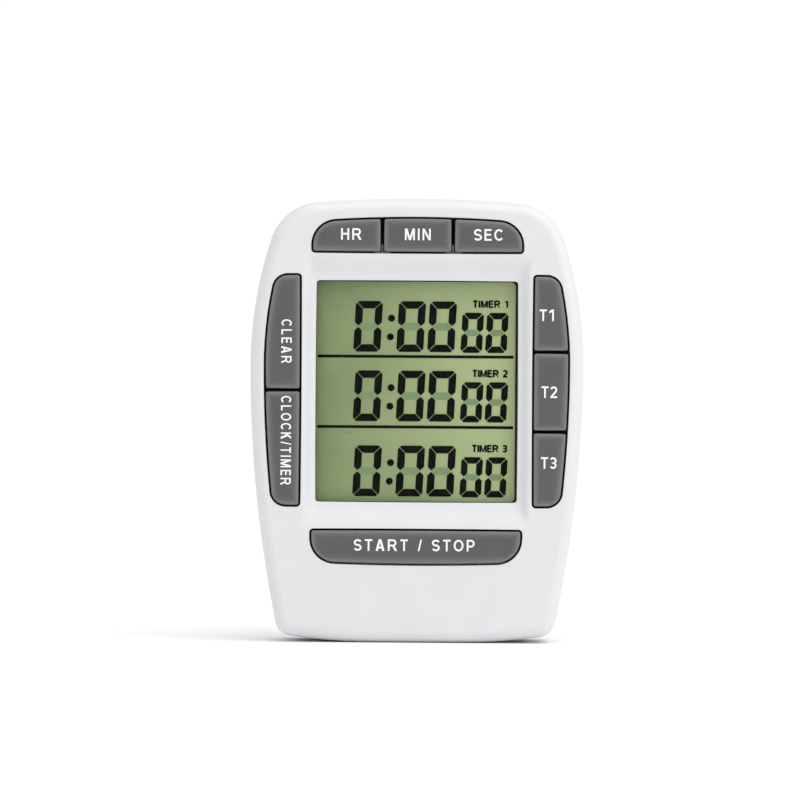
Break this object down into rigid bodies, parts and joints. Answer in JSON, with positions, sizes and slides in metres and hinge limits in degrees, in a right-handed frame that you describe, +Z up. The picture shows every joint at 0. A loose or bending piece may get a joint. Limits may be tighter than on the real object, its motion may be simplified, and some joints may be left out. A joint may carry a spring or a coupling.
{
  "type": "lab timer",
  "caption": "Palm-size laboratory timer: white case with a tall reflective display, press keys on every side of it, and an easel stand, battery door and magnets at the back.",
  "frame": {"origin": "middle of the base, on the surface that the timer stands on", "axes": "+Z up along the height of the case, -Y out of the display, +X to the right of the display"},
  "size_m": [0.066, 0.019, 0.088],
  "materials": {
    "case_white": "satin moulded",
    "case_back": "fine texture",
    "key_grey": "satin",
    "lens_clear": "clear polished",
    "polariser_film": "clear film",
    "lcd_glass": "clear polished",
    "lcd_reflector": "grey-green, matte",
    "foam_black": "matte",
    "zebra_rubber": "matte",
    "mat_rubber": "matte",
    "board_green": "lacquered",
    "epoxy_black": "semi-gloss",
    "chip_ceramic": "matte",
    "buzzer_brass": "bare",
    "buzzer_ceramic": "silvered",
    "plated_steel": "nickel plated",
    "screw_steel": "zinc plated",
    "magnet_dark": "ferrite, matte",
    "cell_sleeve": "plain sleeve",
    "lead_red": "satin",
    "lead_black": "satin"
  },
  "bodies": {
    "case": {"front_cover": "case_white", "rear_cover": "case_back", "display_lens": "lens_clear", "lcd_gasket": "foam_black", "lcd_front_polariser": "polariser_film", "lcd_front_glass": "lcd_glass", "lcd_rear_glass": "lcd_glass", "lcd_reflector": "lcd_reflector", "zebra_strips": "zebra_rubber", "keypad_mat": "mat_rubber", "main_board": "board_green", "chip_cover": "epoxy_black", "crystal_can": "plated_steel", "chip_capacitors": "chip_ceramic", "chip_resistors": "epoxy_black", "buzzer_plate": "buzzer_brass", "buzzer_ceramic": "buzzer_ceramic", "buzzer_lead_a": "lead_red", "buzzer_lead_b": "lead_black", "battery_cell": "cell_sleeve", "battery_positive_contact": "plated_steel", "battery_negative_spring": "plated_steel", "battery_lead_red": "lead_red", "battery_lead_black": "lead_black", "board_screws": "screw_steel", "case_screws": "screw_steel", "magnets": "magnet_dark"},
    "stand": {"stand": "case_back"},
    "battery_door": {"battery_door": "case_back"},
    "hr_press": {"hr_key": "key_grey", "hr_plunger": "mat_rubber"},
    "min_press": {"min_key": "key_grey", "min_plunger": "mat_rubber"},
    "sec_press": {"sec_key": "key_grey", "sec_plunger": "mat_rubber"},
    "clear_press": {"clear_key": "key_grey", "clear_plunger": "mat_rubber"},
    "clock_timer_press": {"clock_timer_key": "key_grey", "clock_timer_plunger": "mat_rubber"},
    "t1_press": {"t1_key": "key_grey", "t1_plunger": "mat_rubber"},
    "t2_press": {"t2_key": "key_grey", "t2_plunger": "mat_rubber"},
    "t3_press": {"t3_key": "key_grey", "t3_plunger": "mat_rubber"},
    "start_stop_press": {"start_stop_key": "key_grey", "start_stop_plunger": "mat_rubber"}
  },
  "joints": [
    {"name": "stand_hinge", "type": "hinge", "parent": "case", "child": "stand", "pos_m": [0, 0.0077, 0.066], "axis": [1, 0, 0], "range_deg": [0, 40]},
    {"name": "battery_door_hinge", "type": "hinge", "parent": "case", "child": "battery_door", "pos_m": [0, 0.008, 0.0154], "axis": [1, 0, 0], "range_deg": [0, 75]},
    {"name": "hr_travel", "type": "slide", "parent": "case", "child": "hr_press", "axis": [0, 1, 0], "range_m": [0, 0.0007], "stiffness_N_per_m": 400},
    {"name": "min_travel", "type": "slide", "parent": "case", "child": "min_press", "axis": [0, 1, 0], "range_m": [0, 0.0007], "stiffness_N_per_m": 400},
    {"name": "sec_travel", "type": "slide", "parent": "case", "child": "sec_press", "axis": [0, 1, 0], "range_m": [0, 0.0007], "stiffness_N_per_m": 400},
    {"name": "clear_travel", "type": "slide", "parent": "case", "child": "clear_press", "axis": [0, 1, 0], "range_m": [0, 0.0007], "stiffness_N_per_m": 400},
    {"name": "clock_timer_travel", "type": "slide", "parent": "case", "child": "clock_timer_press", "axis": [0, 1, 0], "range_m": [0, 0.0007], "stiffness_N_per_m": 400},
    {"name": "t1_travel", "type": "slide", "parent": "case", "child": "t1_press", "axis": [0, 1, 0], "range_m": [0, 0.0007], "stiffness_N_per_m": 400},
    {"name": "t2_travel", "type": "slide", "parent": "case", "child": "t2_press", "axis": [0, 1, 0], "range_m": [0, 0.0007], "stiffness_N_per_m": 400},
    {"name": "t3_travel", "type": "slide", "parent": "case", "child": "t3_press", "axis": [0, 1, 0], "range_m": [0, 0.0007], "stiffness_N_per_m": 400},
    {"name": "start_stop_travel", "type": "slide", "parent": "case", "child": "start_stop_press", "axis": [0, 1, 0], "range_m": [0, 0.0007], "stiffness_N_per_m": 400}
  ]
}
